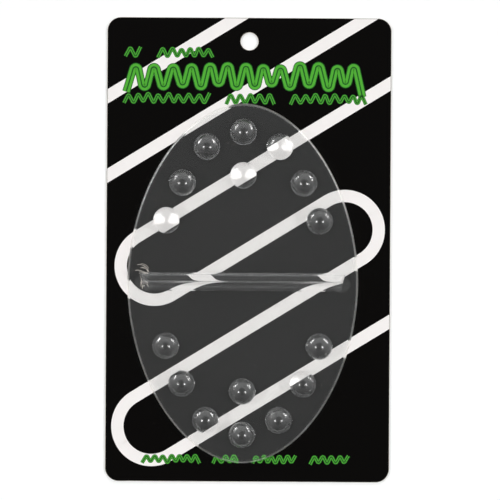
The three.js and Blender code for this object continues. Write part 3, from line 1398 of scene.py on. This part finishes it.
@dataclass
class GripStuds:
    """The domed studs, each a cap of a ball, all in one mesh."""

    shelf: FinishShelf
    segments: int = 72
    rings: int = 24

    def __post_init__(self) -> None:
        """Reads every stud's place and size from the frame."""
        self.nodes = sorted(n for n in frame["nodes"] if n.startswith("stud_"))
        boxes = [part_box(n) for n in self.nodes]
        self.places = [Vector(((lo.x + hi.x) / 2, (lo.y + hi.y) / 2, lo.z + SEAT_GAP)) for lo, hi in boxes]
        low, high = boxes[0]
        self.foot_radius = (high.x - low.x) / 2
        height = high.z - low.z
        self.ball_radius = (self.foot_radius**2 + height**2) / (2 * height)

    def feet(self) -> list[Loop]:
        """Each stud's foot in plan."""
        return [circle(p, self.foot_radius, self.segments) for p in self.places]

    def build(self) -> None:
        """Grows a stud on every place."""
        data = bpy.data.meshes.new("grip_studs")
        data.from_pydata([tuple(p) for p in self.places], [], [])
        piece = grown(
            place(bpy.data.objects.new("grip_studs", data)),
            grip_stud_tree(),
            Ball_Radius=self.ball_radius,
            Foot_Radius=self.foot_radius,
            Segments=self.segments,
            Rings=self.rings,
            Urethane=self.shelf.material(Finish.DOMED),
            Bonded_Face=self.shelf.material(Finish.BOND),
        )
        wear(piece, "pad", "clear_urethane", *self.nodes)


# -------------------------------------------------------------------------------------------- the studio


@dataclass(frozen=True)
class Lamp:
    """One kind of lamp, which hangs on both sides: the way to it, how far off, how wide and how strong it is.

    A key lamp lights only matte surfaces. The others show only in gloss.
    """

    name: str
    direction: tuple[float, float, float]
    distance: float
    size: tuple[float, float]
    watts: float
    right_gain: float = 1.0
    shape: str = "DISK"
    is_key: bool = False

    def hang(self, target: Vector, side: float, side_name: str) -> None:
        """Hangs the lamp on one side, facing the pad and hidden from the camera itself.

        Args:
            target: the point that it faces.
            side: -1 for the left, 1 for the right.
            side_name: left or right, for its name.
        """
        name = f"{self.name}_{side_name}"
        data = bpy.data.lights.new(name, "AREA")
        data.shape = self.shape
        data.size, data.size_y = self.size
        data.energy = self.watts * (self.right_gain if side > 0 else 1.0)
        lamp = place(bpy.data.objects.new(name, data))
        across, along, up = self.direction
        towards = Vector((side * across, along, up)).normalized()
        lamp.location = target + towards * self.distance
        lamp.rotation_euler = towards.to_track_quat("Z", "Y").to_euler()
        lamp.visible_camera = False
        lamp.visible_glossy = not self.is_key
        lamp.visible_diffuse = self.is_key
        data.cycles.use_multiple_importance_sampling = self.is_key


@dataclass
class Studio:
    """A plain pale floor and room, four kinds of lamp in pairs, and the camera overhead."""

    view_width: float = 223.7 * MM
    lens: float = 150.0
    sensor: float = 36.0
    aim: Vector = field(default_factory=lambda: Vector((0.77 * MM, -0.1 * MM, 0.75 * MM)))
    camera_turn: float = math.radians(0.34)
    floor_half_side: float = 3.0
    floor_colour: tuple[float, float, float] = (0.97, 0.97, 0.97)
    room_colour: tuple[float, float, float] = (0.94, 0.95, 0.96)
    room_tint: tuple[float, float, float] = (0.98, 1.0, 1.0)
    room_light: tuple[Point, ...] = (
        (0.0, 0.6),
        (0.12, 0.7),
        (0.40, 0.85),
        (0.76, 0.85),
        (0.90, 0.26),
        (1.0, 0.16),
    )
    top_side_gain: float = 0.8
    key_tilt: float = math.radians(47.0)
    glint_tilt: float = math.radians(28.0)
    lamp_lean: float = math.radians(4.6)
    most_bounces: int = 24
    most_clear_layers: int = 48

    def floor(self) -> None:
        """Lays the floor at the card's underside."""
        reach = self.floor_half_side
        corners = [(-reach, -reach, 0), (reach, -reach, 0), (reach, reach, 0), (-reach, reach, 0)]
        data = bpy.data.meshes.new("studio_floor")
        data.from_pydata(corners, [], [(0, 1, 2, 3)])
        made, w, shader = new_material("studio_floor", 0.9)
        shader.inputs["Base Color"].default_value = (*self.floor_colour, 1.0)
        shader.inputs["Specular IOR Level"].default_value = 0.0
        w.node("ShaderNodeOutputMaterial", None, Surface=shader.outputs[0])
        data.materials.append(made)
        place(bpy.data.objects.new("studio_floor", data))

    def room(self) -> None:
        """Lights the room: dim overhead, brightest part way down, and brighter past the card's top."""
        world = bpy.data.worlds.new("studio_room")
        world.use_nodes = True
        world.node_tree.nodes.clear()
        w = Wiring(world.node_tree)
        way = w.node("ShaderNodeTexCoord").outputs["Generated"]
        parts = w.node("ShaderNodeSeparateXYZ", None, Vector=way).outputs
        ramp = w.node("ShaderNodeValToRGB", None, Fac=parts["Z"])
        for height, _ in self.room_light[1:-1]:
            ramp.color_ramp.elements.new(height)
        for element, (height, light) in zip(ramp.color_ramp.elements, self.room_light):
            element.position = height
            element.color = (*(light * share for share in self.room_tint), 1.0)
        towards_top = w.math("MULTIPLY_ADD", parts["Y"], self.top_side_gain, 1.0)
        glow = w.node("ShaderNodeBackground", None, Color=ramp.outputs[0], Strength=towards_top)
        plain = w.node("ShaderNodeBackground", None, Color=(*self.room_colour, 1.0))
        seen = w.node("ShaderNodeLightPath").outputs["Is Camera Ray"]
        both = w.node("ShaderNodeMixShader", None, i0=seen, i1=glow.outputs[0], i2=plain.outputs[0])
        w.node("ShaderNodeOutputWorld", None, Surface=both.outputs[0])
        bpy.context.scene.world = world

    def tilted(self, tilt: float) -> tuple[float, float, float]:
        """The way to a lamp so far from overhead, leaning a little towards the card's foot."""
        return (math.sin(tilt), -math.sin(self.lamp_lean), math.cos(tilt))

    def lamps(self) -> None:
        """Hangs the key lamps, the ones that glint on the domes, the panels that rim them, and low ones."""
        low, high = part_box("pad_sheet")
        kinds = (
            Lamp("key", self.tilted(self.key_tilt), 1.5, (0.15, 0.15), 6.4, right_gain=1.15, is_key=True),
            Lamp("glint", self.tilted(self.glint_tilt), 1.5, (0.09, 0.09), 12.0),
            Lamp("panel", (1.0, 0.75, 0.12), 1.0, (0.6, 0.4), 16.0, shape="RECTANGLE"),
            Lamp("low", (1.0, -1.0, 0.06), 1.0, (0.05, 0.05), 0.5),
        )
        for side, side_name in ((-1.0, "left"), (1.0, "right")):
            for lamp in kinds:
                lamp.hang((low + high) / 2, side, side_name)

    def camera(self) -> None:
        """Hangs the camera straight above the card."""
        data = bpy.data.cameras.new("overhead_camera")
        data.lens, data.sensor_width = self.lens, self.sensor
        camera = place(bpy.data.objects.new("overhead_camera", data))
        distance = self.view_width * self.lens / self.sensor
        camera.location = self.aim + Vector((0, 0, distance))
        camera.rotation_euler = (0, 0, self.camera_turn)
        bpy.context.scene.camera = camera

    def light_paths(self) -> None:
        """Lets light through the whole stack of clear layers, and leaves colours as they are."""
        scene = bpy.context.scene
        scene.view_settings.view_transform = "Standard"
        scene.cycles.max_bounces = self.most_bounces
        scene.cycles.transmission_bounces = self.most_bounces
        scene.cycles.transparent_max_bounces = self.most_clear_layers
        scene.cycles.caustics_refractive = False
        scene.cycles.caustics_reflective = False

    def build(self) -> None:
        """Sets up the whole studio."""
        self.floor()
        self.room()
        self.lamps()
        self.camera()
        self.light_paths()


# ------------------------------------------------------------------------------------------------- main


def main() -> None:
    """Builds the studio, the card and the pad."""
    logging.basicConfig(level=logging.INFO, format="%(message)s")
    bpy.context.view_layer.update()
    shelf = FinishShelf()
    Studio().build()
    card = HangCard(shelf)
    card.build()
    CardPrint(shelf, card).build()
    GlueSpots(shelf).build()
    bar, studs = ScraperBar(shelf), GripStuds(shelf)
    PadLayers(shelf, [bar.foot(), *studs.feet()]).build()
    bar.build()
    studs.build()


if __name__ == "__main__":
    main()
